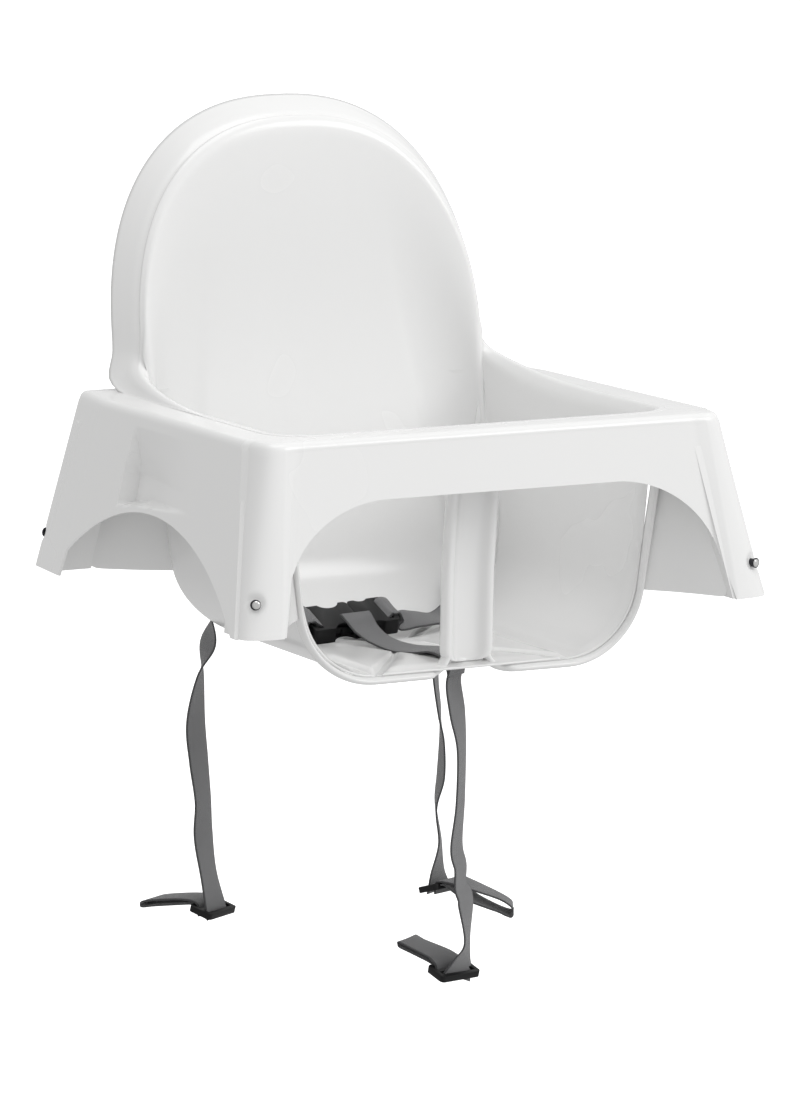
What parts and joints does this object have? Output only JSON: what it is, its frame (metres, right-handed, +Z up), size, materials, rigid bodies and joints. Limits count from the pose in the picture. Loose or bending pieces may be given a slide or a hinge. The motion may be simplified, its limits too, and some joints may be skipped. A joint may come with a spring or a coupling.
{
  "type": "baby high chair seat shell",
  "caption": "Moulded baby high chair seat with backrest, crotch post, leg openings, flared leg sockets and a buckled restraint with hanging strap tails.",
  "frame": {"origin": "centre between the four leg socket mouths, on the left-right middle plane, at the level of the mouths", "axes": "+Z up, -Y towards the front of the seat, +X to the right as seen from in front"},
  "size_m": [0.3986, 0.3762, 0.5838],
  "materials": {
    "shell_plastic": "gloss",
    "buckle_plastic": "satin",
    "webbing": "woven",
    "button_steel": "polished"
  },
  "bodies": {
    "root": {"seat_tub": "shell_plastic", "rim_frame": "shell_plastic", "leg_socket_front_left": "shell_plastic", "leg_socket_front_right": "shell_plastic", "leg_socket_rear_left": "shell_plastic", "leg_socket_rear_right": "shell_plastic", "button_spring_front_left": "button_steel", "button_spring_front_right": "button_steel", "button_spring_rear_left": "button_steel", "button_spring_rear_right": "button_steel", "buckle_socket": "buckle_plastic", "waist_strap_left": "webbing", "waist_strap_right": "webbing", "crotch_strap": "webbing"},
    "button_front_left": {"press_button_front_left": "button_steel"},
    "button_front_right": {"press_button_front_right": "button_steel"},
    "button_rear_left": {"press_button_rear_left": "button_steel"},
    "button_rear_right": {"press_button_rear_right": "button_steel"},
    "tongue": {"buckle_tongue": "buckle_plastic"},
    "prong_front": {"buckle_prong_front": "buckle_plastic"},
    "prong_rear": {"buckle_prong_rear": "buckle_plastic"},
    "tail_left": {"strap_tail_left": "webbing"},
    "adjuster_left": {"strap_adjuster_left": "buckle_plastic", "strap_end_left": "webbing"},
    "tail_right": {"strap_tail_right": "webbing"},
    "adjuster_right": {"strap_adjuster_right": "buckle_plastic", "strap_end_right": "webbing"},
    "tail_crotch": {"strap_tail_crotch": "webbing"},
    "adjuster_crotch": {"strap_adjuster_crotch": "buckle_plastic", "strap_end_crotch": "webbing"}
  },
  "joints": [
    {"name": "press_front_left", "type": "slide", "parent": "root", "child": "button_front_left", "axis": [0.4003, 0.9164, 0], "range_m": [0, 0.0025], "stiffness_N_per_m": 400, "springref_m": -0.004, "deforming": ["button_spring_front_left"]},
    {"name": "press_front_right", "type": "slide", "parent": "root", "child": "button_front_right", "axis": [-0.4003, 0.9164, 0], "range_m": [0, 0.0025], "stiffness_N_per_m": 400, "springref_m": -0.004, "deforming": ["button_spring_front_right"]},
    {"name": "press_rear_left", "type": "slide", "parent": "root", "child": "button_rear_left", "axis": [0.4003, -0.9164, 0], "range_m": [0, 0.0025], "stiffness_N_per_m": 400, "springref_m": -0.004, "deforming": ["button_spring_rear_left"]},
    {"name": "press_rear_right", "type": "slide", "parent": "root", "child": "button_rear_right", "axis": [-0.4003, -0.9164, 0], "range_m": [0, 0.0025], "stiffness_N_per_m": 400, "springref_m": -0.004, "deforming": ["button_spring_rear_right"]},
    {"name": "buckle_slide", "type": "slide", "parent": "root", "child": "tongue", "axis": [0.9986, 0, 0.0523], "range_m": [0, 0.034], "deforming": ["waist_strap_right"]},
    {"name": "prong_front_flex", "type": "hinge", "parent": "tongue", "child": "prong_front", "pos_m": [-0.02332, 0.00004, -0.03073], "axis": [0.0492, 0.342, -0.9384], "range_deg": [0, 8], "stiffness_Nm_per_rad": 0.05, "springref_deg": -2.86},
    {"name": "prong_rear_flex", "type": "hinge", "parent": "tongue", "child": "prong_rear", "pos_m": [-0.0237, 0.01996, -0.02349], "axis": [-0.0492, -0.342, 0.9384], "range_deg": [0, 8], "stiffness_Nm_per_rad": 0.05, "springref_deg": -2.86},
    {"name": "tail_left_swing", "type": "hinge", "parent": "root", "child": "tail_left", "pos_m": [-0.088, 0.108, -0.0225], "axis": [1, 0, 0], "range_deg": [-20, 35]},
    {"name": "tail_right_swing", "type": "hinge", "parent": "root", "child": "tail_right", "pos_m": [0.088, 0.108, -0.0225], "axis": [1, 0, 0], "range_deg": [-20, 35]},
    {"name": "tail_crotch_swing", "type": "hinge", "parent": "root", "child": "tail_crotch", "pos_m": [0, -0.094, -0.051], "axis": [1, 0, 0], "range_deg": [-35, 35]},
    {"name": "adjuster_left_slide", "type": "slide", "parent": "tail_left", "child": "adjuster_left", "axis": [0, 0, 1], "range_m": [0, 0.12]},
    {"name": "adjuster_right_slide", "type": "slide", "parent": "tail_right", "child": "adjuster_right", "axis": [0, 0, 1], "range_m": [0, 0.12]},
    {"name": "adjuster_crotch_slide", "type": "slide", "parent": "tail_crotch", "child": "adjuster_crotch", "axis": [0, 0, 1], "range_m": [0, 0.12]}
  ],
  "couplings": [
    {"joint": "prong_rear_flex", "follows": "prong_front_flex", "ratio": 1}
  ]
}
